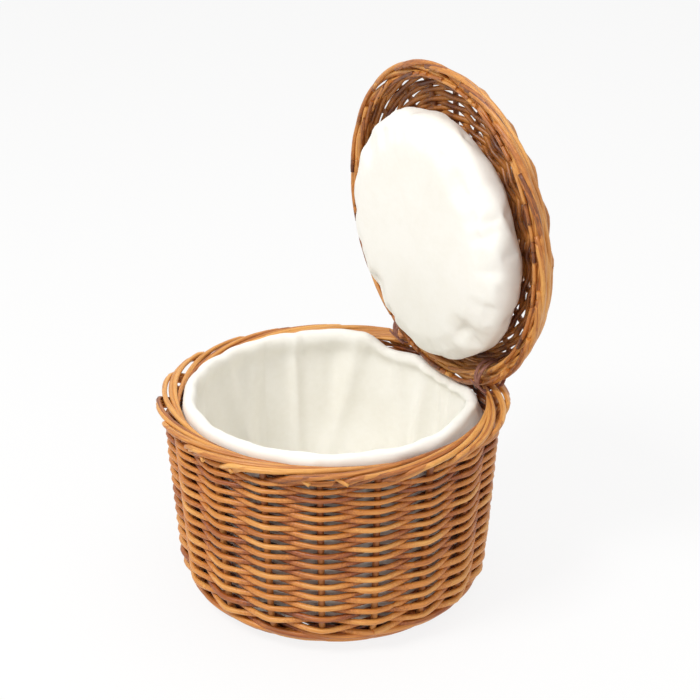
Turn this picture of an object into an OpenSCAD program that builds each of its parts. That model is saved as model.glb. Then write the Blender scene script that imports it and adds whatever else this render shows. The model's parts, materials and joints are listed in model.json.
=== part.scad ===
// Round willow basket with a padded cotton liner and a hinged, cushioned lid.
// The origin is the centre of the foot on the ground. +Z is up, +Y points to the hinge,
// and X runs along the hinge line. The lid is drawn standing open.

/* [Basket] */
// Outer radius of the woven wall just under the border
body_r = 153; // [120:1:200]
// Height of the woven wall, from the ground to the underside of the border
body_h = 178.5; // [140:0.5:240]
// Thickness of the woven wall
wall_t = 15; // [13:0.5:18]
// Outward lean of the wall in degrees
lean = 3.7; // [1:0.1:7]
// Radius of the rounded foot
foot_r = 40; // [34:1:55]
// Width of the flat ring that the basket stands on
foot_flat = 12; // [8:1:20]
// Height of the waling rows at the foot
wale_h = 16; // [12:1:24]

/* [Border] */
// Width of the plaited border
border_w = 24; // [20:1:30]
// Height of the plaited border
border_h = 10; // [8:0.5:14]
// How far the border stands out past the wall
border_out = 7; // [3:0.5:10]

/* [Stakes] */
// Number of upright stakes, an odd number for single-weaver randing
stake_count = 19; // [15:2:23]
// Diameter of a stake
stake_d = 6; // [4.5:0.5:7.5]
// Turn of the first stake from +X in degrees
stake_turn = -16.8; // [-30:0.1:30]
// How far a stake's butt is pushed in between the base rods
stake_butt = 29; // [20:1:32]
// How far a stake's top runs up inside the border
stake_seat = 4; // [2:0.5:5]

/* [Base] */
// Base rods that are pierced in the middle
pierced_count = 4; // [3:1:4]
// Base rods that pass through the pierced ones
through_count = 5; // [3:1:5]
// Diameter of a base rod
base_rod_d = 8; // [6:0.5:9]
// Reach of the base rods from the centre
base_rod_reach = 72; // [60:1:74]
// Thickness of the woven base
base_t = 13; // [11:0.5:14]

/* [Lid] */
// How far the lid's border lies inside the basket's border, centre line to centre line
lid_inset = 6.5; // [5:0.5:9]
// Width of the lid's border
lid_border_w = 16; // [12:0.5:18]
// Height of the lid's border
lid_border_h = 10; // [8:0.5:12]
// Gap between the two borders when the lid is down
lid_gap = 1.5; // [1:0.1:4]
// Height of the lid's dish above the middle of its border
dish_h = 25; // [21:0.5:34]
// Thickness of the woven dish
dish_t = 11; // [9:0.5:12]
// Diameter of a lid rod
lid_rod_d = 5.5; // [4:0.5:6.5]
// Lid rods in each direction
lid_rod_count = 5; // [3:1:5]

/* [Cushion] */
// Radius of the lid cushion
cushion_r = 116; // [95:1:118]
// How far the cushion's face stands out past the middle of the lid's border at its edge
cushion_proud = 27; // [18:1:32]
// Crown of the cushion's face above its edge
cushion_crown = 3.5; // [1:0.5:6]
// Shift of the cushion towards the hinge
cushion_shift = 4; // [0:0.5:6]
// Number of puckers round the cushion's seam
pucker_count = 18; // [8:1:24]
// Depth of a pucker
pucker_depth = 1.6; // [0.5:0.1:2.5]

/* [Liner] */
// Thickness of the padded liner
liner_t = 7; // [5:0.5:9]
// How far the liner's rolled hem stands above the border
hem_rise = 3; // [0:0.5:4]
// Number of soft folds round the liner
fold_count = 11; // [6:1:16]
// Depth of a fold at the hem
fold_depth = 3; // [1:0.5:4]

/* [Hinge] */
// Distance of each thong from the middle of the hinge
tie_x = 66; // [50:1:80]
// Height of the hinge line above the middle of the closed lid's border
hinge_rise = 3.8; // [2:0.1:5]
// Angle that the lid stands open at, in degrees
open_angle = 86.4; // [0:0.1:90]
// Diameter of a thong
thong_d = 3; // [2.5:0.1:4]
// Radius of a thong's loop round the lid's border
loop_r = 15; // [14:0.1:16]
// Distance between the two turns of a thong
turn_pitch = 5.2; // [4.5:0.1:6]

/* [Hidden] */
// Gap round a rod in its channel
fit = 0.15;
// How much thinner a rod is past a bend, and how far its thicker stretch runs over the thinner
rod_thinning = 0.3;
rod_lap = 1;
// Gap between woven or padded pieces that lie on each other
lay = 0.3;
// Gap between the liner and the wicker
liner_gap = 0.6;
// Room kept between the swinging lid and the fixed pieces
swing_gap = 0.6;
// Segments of a round stretch in an outline
arc_steps = 10;
// Points round the liner and the cushion
round_steps = 72;

straw = [0.76, 0.50, 0.25];
bark = [0.62, 0.37, 0.17];
cotton = [0.95, 0.93, 0.88];
hide = [0.55, 0.35, 0.27];

// Wall: a foot arc round foot_c, then a straight leaning wall up to body_h
wall_mid = wall_t / 2;
arc_end_z = foot_r - foot_r * sin(lean);
foot_c = body_r - (body_h - arc_end_z) * tan(lean) - foot_r * cos(lean);

border_r = body_r + border_out - border_w / 2;
border_in_r = border_r - border_w / 2;
border_z = body_h + border_h / 2;
border_top = body_h + border_h;

lid_r = border_r - lid_inset;
lid_z = border_top + lid_gap + lid_border_h / 2;
dish_r = lid_r - 2 - (dish_h - dish_t / 2);
dish_mid = dish_h - dish_t / 2;

hinge_y = sqrt(lid_r * lid_r - tie_x * tie_x);
hinge_z = lid_z + hinge_rise;

// Half of the width that the crossed rods take in the middle of the base and the lid
rod_pitch = base_rod_d + 1;
lid_rod_pitch = lid_rod_d + 1;
base_cross = max(pierced_count, through_count) * rod_pitch / 2 + base_rod_d;
lid_cross = lid_rod_count * lid_rod_pitch / 2 + lid_rod_d;
base_hub = base_cross + 4;
lid_hub = lid_cross + 4;

// Radius of the surface that lies d inside the wall's outer face, at height z on the straight wall
function wall_r(z, d) = foot_c + (foot_r - d) * cos(lean)
    + (z - foot_r + (foot_r - d) * sin(lean)) * tan(lean);
// Points of that surface along the foot, from under the foot arc's centre up to the straight wall
function foot_arc(d) = [for (i = [0:arc_steps])
    let (a = -90 + (90 - lean) * i / arc_steps)
    [foot_c + (foot_r - d) * cos(a), foot_r + (foot_r - d) * sin(a)]];
// How far the lid's border reaches from the hinge line, at x along it
function lid_reach(x) =
    let (half = lid_border_h / 2, edge = lid_r + lid_border_w / 2 - half)
    norm([max(0, sqrt(max(0, edge * edge - x * x)) - hinge_y), hinge_rise]) + half;
function blend(t) = let (c = max(0, min(1, t))) c * c * (3 - 2 * c);
function reversed(list) = [for (i = [len(list) - 1:-1:0]) list[i]];

function number(i) = i < 10 ? str("0", i) : str(i);
STAKES = [for (i = [1:stake_count]) str("side_stake_", number(i))];
PIERCED = [for (i = [1:pierced_count]) str("base_rod_pierced_", i)];
THROUGH = [for (i = [1:through_count]) str("base_rod_through_", i)];
LID_PIERCED = [for (i = [1:lid_rod_count]) str("lid_rod_pierced_", i)];
LID_THROUGH = [for (i = [1:lid_rod_count]) str("lid_rod_through_", i)];

// A ring whose section is a flat bar with round edges
module round_ring(r, w, h) {
    rotate_extrude($fn = 128) {
        translate([r - w / 2 + h / 2, -h / 2]) square([w - h, h]);
        for (side = [-1, 1])
            translate([r + side * (w - h) / 2, 0]) circle(d = h, $fn = 48);
    }
}

// A straight rod lying in the XY plane from a to b
module lying_rod(a, b, d) {
    translate([a.x, a.y, 0]) rotate([0, 0, atan2(b.y - a.y, b.x - a.x)]) rotate([0, 90, 0])
        cylinder(d = d, h = norm(b - a), $fn = 32);
}

// A rod of a crossed bundle: straight in the middle, both ends fanned out to the given reach.
// The middle runs a lap over the thinner fanned ends.
module fanned_rod(side, fan, cross, reach, d) {
    lying_rod([-cross - rod_lap, side], [cross + rod_lap, side], d);
    for (end = [-1, 1])
        lying_rod([end * cross, side], [end * reach * cos(fan), reach * sin(fan)], d - rod_thinning);
}

// The middle of a pierced rod has a slit, and the rods that pass through it are shaved to fit
module slit(cross, d, flat) {
    cube([2 * cross - 2, 3 * d, flat], center = true);
}
module shaving(cross, d, flat) {
    for (end = [-1, 1])
        translate([0, 0, end * (flat / 2 + d)]) cube([2 * cross - 2, 3 * d, 2 * d], center = true);
}

// Sideways place and fan angle of rod i among count rods, with turn degrees between two ends
function rod_side(i, count, pitch) = (i - (count - 1) / 2) * pitch;
function rod_fan(i, count, turn) = (i - (count - 1) / 2) * turn;

base_turn = 360 / (2 * (pierced_count + through_count));
lid_turn = 360 / (4 * lid_rod_count);
base_z = wall_mid;

module base_rod(i, pierced, extra = 0) {
    count = pierced ? pierced_count : through_count;
    others = pierced ? through_count : pierced_count;
    d = base_rod_d + extra;
    flat = base_rod_d / 2;
    zone = others * rod_pitch / 2 + 1.5;
    translate([0, 0, base_z]) rotate([0, 0, pierced ? 0 : 90]) difference() {
        fanned_rod(rod_side(i, count, rod_pitch), rod_fan(i, count, base_turn),
                   base_cross, base_rod_reach + extra, d);
        if (extra == 0)
            translate([0, rod_side(i, count, rod_pitch), 0])
                if (pierced) slit(zone, d, flat + 2 * fit);
                else shaving(zone, d, flat);
    }
}

module base_weave() {
    color(straw) difference() {
        translate([0, 0, base_z - base_t / 2]) difference() {
            cylinder(r = foot_c - foot_flat - lay, h = base_t, $fn = 128);
            translate([0, 0, -1]) cylinder(r = base_hub, h = base_t + 2, $fn = 96);
        }
        for (i = [0:pierced_count - 1]) base_rod(i, true, 2 * fit);
        for (i = [0:through_count - 1]) base_rod(i, false, 2 * fit);
        for (i = [0:stake_count - 1]) stake_run(i, 2 * fit);
    }
}

// A stake's butt lies in the base, its bend turns the foot, and it rises in the wall.
// The bend is a little thinner, and the straight stretches run over its ends.
bend_d = stake_d - rod_thinning;
module stake_run(i, extra) {
    rotate([0, 0, stake_turn + i * 360 / stake_count])
        translate([foot_c - stake_butt - extra, 0, base_z]) rotate([0, 90, 0])
            cylinder(d = stake_d + extra, h = stake_butt + rod_lap + extra, $fn = 32);
}
module stake_bend(i, extra) {
    rotate([0, 0, stake_turn + i * 360 / stake_count])
        translate([foot_c, 0, foot_r]) rotate([90, 0, 0]) rotate([0, 0, -90])
            rotate_extrude(angle = 90 - lean, $fn = 128)
                translate([foot_r - wall_mid, 0]) circle(d = bend_d + extra, $fn = 32);
}
module stake_rise(i, extra) {
    low_z = foot_r - (foot_r - wall_mid) * sin(lean) - rod_lap - extra / 2;
    rotate([0, 0, stake_turn + i * 360 / stake_count])
        translate([wall_r(low_z, wall_mid), 0, low_z]) rotate([0, lean, 0])
            cylinder(d = stake_d + extra, h = (border_z - 1 - low_z) / cos(lean), $fn = 32);
}
stake_top = body_h + stake_seat;
module side_stake(i) {
    turn = stake_turn + i * 360 / stake_count;
    color(bark) difference() {
        union() {
            stake_run(i, 0);
            stake_bend(i, 0);
            stake_rise(i, 0);
        }
        translate([-2 * body_r, -2 * body_r, stake_top]) cube([4 * body_r, 4 * body_r, border_h * 3]);
        if (sin(turn) > 0 && abs(cos(turn)) * body_r < tie_x) lid_swing();
    }
}

// The space that the lid's back edge swings through as it tips down inside the border
module lid_swing() {
    steps = 16;
    translate([0, hinge_y, hinge_z]) rotate([0, 90, 0]) rotate_extrude($fn = 96)
        polygon(concat([[0, tie_x + 8], [0, -tie_x - 8]],
            [for (i = [0:steps]) let (x = -(tie_x + 8) + i * 2 * (tie_x + 8) / steps)
                [lid_reach(x) + swing_gap, x]]));
}

// Section of the wall between two depths, cut to a range of heights
module wall_section(d1, d2, z1, z2) {
    intersection() {
        polygon(concat(foot_arc(d1), [[wall_r(body_h, d1), body_h], [wall_r(body_h, d2), body_h]],
                       reversed(foot_arc(d2))));
        translate([0, z1]) square([2 * body_r, z2 - z1]);
    }
}

module foot_wale() {
    color(bark) difference() {
        rotate_extrude($fn = 128) {
            wall_section(0, wall_t, 0, wale_h);
            translate([foot_c - foot_flat, 0]) square([foot_flat + lay, wall_t]);
        }
        for (i = [0:stake_count - 1]) {
            stake_run(i, 2 * fit);
            stake_bend(i, 2 * fit);
        }
    }
}

module side_weave() {
    color(straw) difference() {
        rotate_extrude($fn = 128) wall_section(0, wall_t, wale_h + lay, body_h - lay);
        for (i = [0:stake_count - 1]) {
            stake_bend(i, 2 * fit);
            stake_rise(i, 2 * fit);
        }
        lid_swing();
    }
}

module top_border() {
    color(bark) difference() {
        translate([0, 0, border_z]) round_ring(border_r, border_w, border_h);
        intersection() {
            for (i = [0:stake_count - 1]) stake_rise(i, 2 * fit);
            translate([0, 0, stake_top + fit - 100]) cylinder(r = 2 * body_r, h = 100, $fn = 64);
        }
        lid_swing();
        for (side = [-1, 1]) thong_turns(side, 2 * swing_gap);
    }
}

// Two turns of thong round the hinge line, threaded through the basket's border
module thong_turns(side, extra) {
    for (turn = [-1, 1])
        translate([side * tie_x + turn * turn_pitch / 2, hinge_y, hinge_z]) rotate([0, 90, 0])
            rotate_extrude($fn = 96) translate([loop_r, 0]) circle(d = thong_d + extra, $fn = 32);
}
// Direction of the knot from the hinge line, in degrees below the front horizontal
knot_fall = 30;
module hinge_thong(side) {
    color(hide) {
        thong_turns(side, 0);
        translate([side * tie_x - turn_pitch / 2 - thong_d / 2,
                   hinge_y - loop_r * cos(knot_fall), hinge_z - loop_r * sin(knot_fall)])
            rotate([0, 90, 0]) cylinder(d = thong_d * 1.5, h = turn_pitch + thong_d, $fn = 48);
    }
}
module hinge_thong_left() { hinge_thong(-1); }
module hinge_thong_right() { hinge_thong(1); }

// Height of the liner's hem at azimuth a: it dips under the lid's back edge and the thongs
hem_top = border_top + hem_rise;
hem_spread = 24;
function hem_z(a) =
    let (x = abs(border_in_r * cos(a)),
         reach = max(lid_reach(x), loop_r + thong_d / 2),
         low = hinge_z - reach - 1.5,
         away = blend((x - tie_x - 8) / hem_spread))
    sin(a) < 0 ? hem_top : low + (hem_top - low) * away;

// Inward push of the soft folds at azimuth a, growing from the foot to the hem
function fold(a, share) = fold_depth * share * pow((1 + cos(fold_count * a)) / 2, 2);

liner_out = wall_t + liner_gap;
hem_out_r = border_in_r - liner_gap;
// Closed outline of the liner at azimuth a, from the middle of its underside to the middle of its floor
function liner_outline(a) =
    let (top = hem_z(a), inner = liner_out + liner_t, arcs = 4,
         low = arc_end_z + 2, high = min(body_h, top) - 12)
    concat(
        [for (i = [0:arcs]) let (t = -90 + (90 - lean) * i / arcs)
            [foot_c + (foot_r - liner_out) * cos(t), foot_r + (foot_r - liner_out) * sin(t)]],
        [[wall_r(high, liner_out), high],
         [hem_out_r, top - 5],
         [hem_out_r - 1.5, top - 1.5],
         [hem_out_r - liner_t / 2 - 1, top],
         [hem_out_r - liner_t - fold(a, 1), top - 2],
         [hem_out_r - liner_t - 1.5 - fold(a, 1), top - 5],
         [wall_r(high, inner) - fold(a, 0.9), high],
         [wall_r((low + high) / 2, inner) - fold(a, 0.6), (low + high) / 2]],
        [for (i = [arcs:-1:0]) let (t = -90 + (90 - lean) * i / arcs)
            [foot_c + (foot_r - inner) * cos(t) - fold(a, 0.3 * i / arcs),
             foot_r + (foot_r - inner) * sin(t)]]);

// Solid made by turning an outline that changes with azimuth, closed by two points on the axis
module turned_solid(outline_of, low_z, high_z) {
    count = len(outline_of(0));
    rings = [for (s = [0:round_steps - 1]) let (a = s * 360 / round_steps, o = outline_of(a))
        [for (p = o) [p[0] * cos(a), p[0] * sin(a), p[1]]]];
    points = concat([for (r = rings) each r], [[0, 0, low_z], [0, 0, high_z]]);
    first = round_steps * count;
    function at(s, i) = (s % round_steps) * count + i;
    faces = concat(
        [for (s = [0:round_steps - 1]) for (i = [0:count - 2])
            each [[at(s, i), at(s, i + 1), at(s + 1, i + 1)], [at(s, i), at(s + 1, i + 1), at(s + 1, i)]]],
        [for (s = [0:round_steps - 1]) [at(s, 0), at(s + 1, 0), first]],
        [for (s = [0:round_steps - 1]) [at(s + 1, count - 1), at(s, count - 1), first + 1]]);
    polyhedron(points = points, faces = faces, convexity = 6);
}

module liner() {
    color(cotton) turned_solid(function (a) liner_outline(a),
                               liner_out, liner_out + liner_t);
}

// Stands the closed lid open about the hinge line
module opened() {
    translate([0, hinge_y, hinge_z]) rotate([-open_angle, 0, 0])
        translate([0, -hinge_y, lid_z - hinge_z]) children();
}

module lid_border() {
    color(bark) opened() difference() {
        round_ring(lid_r, lid_border_w, lid_border_h);
        for (i = [0:lid_rod_count - 1]) {
            lid_rod_shape(i, 0, 2 * fit);
            lid_rod_shape(i, 90, 2 * fit);
        }
    }
}

// A lid rod before its slit or shaving: it runs across the crown and turns down into the border
module lid_rod_shape(i, turn, extra) {
    d = lid_rod_d + extra;
    fan = rod_fan(i, lid_rod_count, lid_turn);
    rotate([0, 0, turn]) {
        translate([0, 0, dish_mid])
            fanned_rod(rod_side(i, lid_rod_count, lid_rod_pitch), fan, lid_cross,
                       dish_r + rod_lap, d);
        for (end = [0, 1]) mirror([end, 0, 0]) rotate([0, 0, fan])
            translate([dish_r, 0, 0]) rotate([90, 0, 0]) rotate([0, 0, lid_seat_turn])
                rotate_extrude(angle = 90 - lid_seat_turn, $fn = 96)
                    translate([dish_mid, 0]) circle(d = d - 2 * rod_thinning, $fn = 32);
    }
}
// Where a lid rod's end stops inside the border, in degrees above the border's middle
lid_seat_turn = 5;

module lid_rod(i, pierced) {
    turn = pierced ? 0 : 90;
    flat = lid_rod_d / 2;
    zone = lid_rod_count * lid_rod_pitch / 2 + 1.5;
    color(bark) opened() difference() {
        lid_rod_shape(i, turn, 0);
        translate([0, 0, dish_mid]) rotate([0, 0, turn])
            translate([0, rod_side(i, lid_rod_count, lid_rod_pitch), 0])
                if (pierced) slit(zone, lid_rod_d, flat + 2 * fit);
                else shaving(zone, lid_rod_d, flat);
    }
}

// Section of the dish: a flat crown and a quarter round down to the border
module dish_section() {
    low = lid_border_h / 2 + lay;
    crown = function (r) [for (i = [0:arc_steps]) let (a = 90 - i * 90 / arc_steps)
        [dish_r + r * cos(a), r * sin(a)]];
    intersection() {
        polygon(concat([[lid_hub, dish_h]], crown(dish_h), reversed(crown(dish_h - dish_t)),
                       [[lid_hub, dish_h - dish_t]]));
        translate([0, low]) square([2 * lid_r, dish_h]);
    }
}

module lid_weave() {
    color(straw) opened() difference() {
        rotate_extrude($fn = 128) dish_section();
        for (i = [0:lid_rod_count - 1]) {
            lid_rod_shape(i, 0, 2 * fit);
            lid_rod_shape(i, 90, 2 * fit);
        }
        translate([0, 0, -lid_z])
            for (side = [-1, 1]) thong_turns(side, 2 * swing_gap);
    }
}

// Outline of the cushion at azimuth a, from the middle of its back to the middle of its face
cushion_back = dish_h - dish_t - 2 * lay;
function pucker(a) = pucker_depth * pow((1 + cos(pucker_count * a)) / 2, 3);
function cushion_outline(a) =
    let (r = cushion_r, back = cushion_back, face = -cushion_proud, seam = pucker(a))
    [[r * 0.5, back], [r - 16, back - 0.5], [r - 7, back - 3], [r - 2 - seam, back - 9],
     [r, -1], [r - 0.5, -9], [r - 2.5, face + 9], [r - 6.5 - seam, face + 3],
     [r - 13, face + 0.5], [r * 0.72, face - cushion_crown * 0.5], [r * 0.4, face - cushion_crown * 0.9]];

module lid_cushion() {
    color(cotton) opened() translate([0, cushion_shift, 0]) mirror([0, 0, 1])
        turned_solid(function (a) [for (p = cushion_outline(a)) [p[0], -p[1]]],
                     -cushion_back, cushion_proud + cushion_crown);
}

for (i = [0:pierced_count - 1])
    color(bark) base_rod(i, true);
for (i = [0:through_count - 1])
    color(bark) base_rod(i, false);
for (i = [0:stake_count - 1])
    side_stake(i);
for (i = [0:lid_rod_count - 1]) {
    lid_rod(i, true);
    lid_rod(i, false);
}
base_weave();
foot_wale();
side_weave();
top_border();
liner();
hinge_thong_left();
hinge_thong_right();
lid_weave();
lid_border();
lid_cushion();
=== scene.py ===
"""Looks of a round willow basket with a padded cotton liner and a cushioned lid.

Every piece is in metres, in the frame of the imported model: the origin is the centre of the
foot on the ground, +Z is up, +Y points to the hinge and X runs along the hinge line.
"""
import json
import logging
import math
import random
from collections.abc import Callable
from dataclasses import dataclass, field
from enum import Enum

import bmesh
import bpy
import numpy as np
from mathutils import Matrix, Vector, noise

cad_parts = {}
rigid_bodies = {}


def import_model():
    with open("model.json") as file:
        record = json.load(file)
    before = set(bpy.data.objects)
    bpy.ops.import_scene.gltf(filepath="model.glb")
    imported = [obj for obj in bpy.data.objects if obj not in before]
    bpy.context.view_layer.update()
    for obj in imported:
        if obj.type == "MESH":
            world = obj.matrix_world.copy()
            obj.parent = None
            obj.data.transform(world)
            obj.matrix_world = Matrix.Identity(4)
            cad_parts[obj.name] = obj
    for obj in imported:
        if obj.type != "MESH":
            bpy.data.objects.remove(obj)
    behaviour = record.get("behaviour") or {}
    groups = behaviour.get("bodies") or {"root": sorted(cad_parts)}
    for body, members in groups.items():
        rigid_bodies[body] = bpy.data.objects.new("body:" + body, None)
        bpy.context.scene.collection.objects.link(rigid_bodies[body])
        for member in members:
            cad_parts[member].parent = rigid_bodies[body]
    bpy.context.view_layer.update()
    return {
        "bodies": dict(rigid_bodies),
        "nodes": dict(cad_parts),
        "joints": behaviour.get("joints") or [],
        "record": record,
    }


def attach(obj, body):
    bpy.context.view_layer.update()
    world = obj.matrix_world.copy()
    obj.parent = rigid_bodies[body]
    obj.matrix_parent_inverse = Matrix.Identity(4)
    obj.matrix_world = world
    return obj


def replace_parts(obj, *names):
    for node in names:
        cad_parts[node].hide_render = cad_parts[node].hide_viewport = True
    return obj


LOG = logging.getLogger("willow_basket")
MM = 0.001
TURN = 2 * math.pi

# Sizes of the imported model, in metres
LEAN = math.radians(3.7)
FOOT_R = 0.040
BODY_H = 0.1785
WALL_MID = 0.0075
FOOT_C = 0.153 - (BODY_H - FOOT_R * (1 - math.sin(LEAN))) * math.tan(LEAN) - FOOT_R * math.cos(LEAN)
STAKES = 19
STAKE_TURN = math.radians(-16.8)
BORDER_R = 0.148
BORDER_Z = 0.1835
LID_R = 0.1415
LID_Z = 0.195
DISH_MID = 0.0195
DISH_R = LID_R - 0.002 - DISH_MID
TIE_X = 0.066
HINGE_Y = math.sqrt(LID_R ** 2 - TIE_X ** 2)
HINGE_Z = 0.1988
LOOP_R = 0.015
OPEN = math.radians(86.4)
CUSHION_R = 0.1185
CUSHION_SHIFT = 0.007

Surface = Callable[[float], tuple[float, float, float, float]]


class Body(Enum):
    """The two bodies that pieces ride on."""
    BASKET = "basket"
    LID = "lid"


def lid_place() -> Matrix:
    """Returns the turn about the hinge that stands a closed lid piece open."""
    hinge = Vector((0, HINGE_Y, HINGE_Z))
    return Matrix.Translation(hinge) @ Matrix.Rotation(-OPEN, 4, "X") @ Matrix.Translation(-hinge)


def linear(colour: str) -> tuple[float, float, float, float]:
    """Turns an sRGB hex colour to the linear one that a shader takes.

    Args:
        colour: Six hex digits after a hash sign.

    Returns:
        Linear red, green and blue, and an alpha of 1.
    """
    parts = [int(colour[i:i + 2], 16) / 255 for i in (1, 3, 5)]
    red, green, blue = [p / 12.92 if p <= 0.04045 else ((p + 0.055) / 1.055) ** 2.4 for p in parts]
    return red, green, blue, 1.0


def add_node(tree: bpy.types.NodeTree, kind: str, settings: dict | None = None,
             links: dict | None = None) -> bpy.types.Node:
    """Adds a node with its settings, and its inputs as values or links.

    Args:
        tree: The material's node tree.
        kind: The node's type name.
        settings: Properties of the node itself.
        links: Values or output sockets by input name or number.

    Returns:
        The new node.
    """
    made = tree.nodes.new(kind)
    for key, value in (settings or {}).items():
        setattr(made, key, value)
    for key, value in (links or {}).items():
        if isinstance(value, bpy.types.NodeSocket):
            tree.links.new(value, made.inputs[key])
        else:
            made.inputs[key].default_value = value
    return made


def ramp(tree: bpy.types.NodeTree, factor: bpy.types.NodeSocket,
         stops: list[tuple[float, str]]) -> bpy.types.NodeSocket:
    """Adds a colour ramp of hex colours.

    Args:
        tree: The material's node tree.
        factor: What picks the colour.
        stops: Position and hex colour of each stop.

    Returns:
        The ramp's colour socket.
    """
    made = add_node(tree, "ShaderNodeValToRGB", links={"Fac": factor})
    elements = made.color_ramp.elements
    while len(elements) < len(stops):
        elements.new(0.5)
    for element, (place, colour) in zip(elements, stops):
        element.position = place
        element.color = linear(colour)
    return made.outputs["Color"]


def math_node(tree: bpy.types.NodeTree, operation: str, first: object,
              second: object = 0.0) -> bpy.types.NodeSocket:
    """Adds one sum of two numbers or sockets and returns its result."""
    return add_node(tree, "ShaderNodeMath", {"operation": operation}, {0: first, 1: second}).outputs[0]


def seen_rays(tree: bpy.types.NodeTree) -> bpy.types.NodeSocket:
    """Returns 1 for rays that show the surroundings: the camera's, and those of gloss and glass."""
    path = add_node(tree, "ShaderNodeLightPath")
    seen = math_node(tree, "MAXIMUM", path.outputs["Is Camera Ray"], path.outputs["Is Glossy Ray"])
    return math_node(tree, "MAXIMUM", seen, path.outputs["Is Transmission Ray"])


def fresh_material(name: str) -> tuple[bpy.types.Material, bpy.types.NodeTree, bpy.types.Node]:
    """Makes a material with only its shader.

    Args:
        name: The material's name.

    Returns:
        The material, its node tree and its Principled shader.
    """
    made = bpy.data.materials.new(name)
    made.use_nodes = True
    return made, made.node_tree, made.node_tree.nodes["Principled BSDF"]


@dataclass(frozen=True)
class VarnishedWillow:
    """Buff willow under a honey varnish: long streaks, dark pores and a soft gloss."""
    name: str
    dark: str = "#3d1907"
    middle: str = "#974b16"
    light: str = "#d18536"
    bright: str = "#eaae5e"
    on_rods: bool = True
    streak_mm: float = 26.0

    def material(self) -> bpy.types.Material:
        """Returns the node material of this willow."""
        made, tree, shader = fresh_material(self.name)
        if self.on_rods:
            grain = add_node(tree, "ShaderNodeAttribute", {"attribute_name": "grain"}).outputs["Vector"]
            tone_and_painted_shade = add_node(tree, "ShaderNodeAttribute", {"attribute_name": "tone_and_painted_shade"}).outputs["Fac"]
            scale = (1 / (self.streak_mm * MM), 1.6, 1.6)
        else:
            grain = add_node(tree, "ShaderNodeTexCoord").outputs["Object"]
            tone_and_painted_shade = add_node(tree, "ShaderNodeTexNoise", {"noise_dimensions": "3D"},
                            {"Vector": grain, "Scale": 9.0}).outputs["Fac"]
            scale = (260.0, 260.0, 1 / (self.streak_mm * MM))
        place = add_node(tree, "ShaderNodeMapping", links={"Vector": grain, "Scale": scale})
        shift = math_node(tree, "MULTIPLY", tone_and_painted_shade, 41.0)
        streak = add_node(tree, "ShaderNodeTexNoise", {"noise_dimensions": "4D"},
                          {"Vector": place.outputs["Vector"], "W": shift, "Scale": 1.0,
                           "Detail": 7.0, "Roughness": 0.62}).outputs["Fac"]
        fine = add_node(tree, "ShaderNodeMapping",
                        links={"Vector": grain, "Scale": tuple(v * k for v, k in zip(scale, (9, 5, 5)))})
        pores = add_node(tree, "ShaderNodeTexNoise", {"noise_dimensions": "4D"},
                         {"Vector": fine.outputs["Vector"], "W": shift, "Scale": 1.0,
                          "Detail": 3.0, "Roughness": 0.7}).outputs["Fac"]
        # For the rods, the tone adds painted shade where weavers dip behind sticks, and painted light over the top
        # of the border, to their own lightness.
        blend = math_node(tree, "ADD", math_node(tree, "MULTIPLY", streak, 0.75),
                          math_node(tree, "MULTIPLY", tone_and_painted_shade, 0.72))
        blend = math_node(tree, "SUBTRACT", blend, 0.26)
        colour = ramp(tree, blend, [(0.18, self.dark), (0.42, self.middle), (0.66, self.light),
                                    (0.88, self.bright)])
        speck = ramp(tree, pores, [(0.28, "#8f6a48"), (0.44, "#ffffff")])
        mixed = add_node(tree, "ShaderNodeMix", {"data_type": "RGBA", "blend_type": "MULTIPLY"},
                         {0: 0.75, 6: colour, 7: speck}).outputs[2]
        relief = math_node(tree, "ADD", streak, math_node(tree, "MULTIPLY", pores, 0.6))
        bump = add_node(tree, "ShaderNodeBump", links={"Strength": 0.55, "Distance": 0.35 * MM,
                                                       "Height": relief})
        tree.links.new(mixed, shader.inputs["Base Color"])
        tree.links.new(bump.outputs["Normal"], shader.inputs["Normal"])
        shader.inputs["Roughness"].default_value = 0.44
        shader.inputs["IOR"].default_value = 1.5
        shader.inputs["Coat Weight"].default_value = 0.18
        shader.inputs["Coat Roughness"].default_value = 0.3
        return made


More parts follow.
